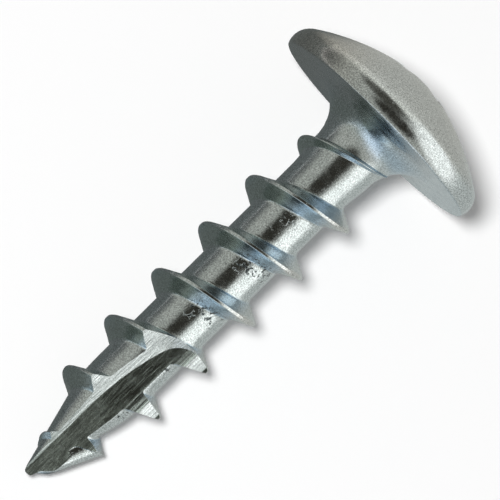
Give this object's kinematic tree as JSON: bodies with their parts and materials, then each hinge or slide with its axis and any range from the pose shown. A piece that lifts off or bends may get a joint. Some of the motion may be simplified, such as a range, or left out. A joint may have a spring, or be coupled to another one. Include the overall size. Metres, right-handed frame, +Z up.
{
  "type": "truss head screw",
  "caption": "One-piece coarse-thread screw with a wide low domed head, cross recess, flared neck and a milled cutting point, lying on its side.",
  "frame": {"origin": "on the ground under the middle of the lying screw's box", "axes": "+X along the ground towards the head, +Z up; the screw lies on its head rim and one thread crest, so its own axis rises 10.99 degrees towards the head in the XZ plane"},
  "size_m": [0.021, 0.0094, 0.0094],
  "materials": {
    "zinc_plated_steel": "bright zinc plating, fine grain"
  },
  "bodies": {
    "root": {"screw": "zinc_plated_steel"}
  },
  "joints": []
}
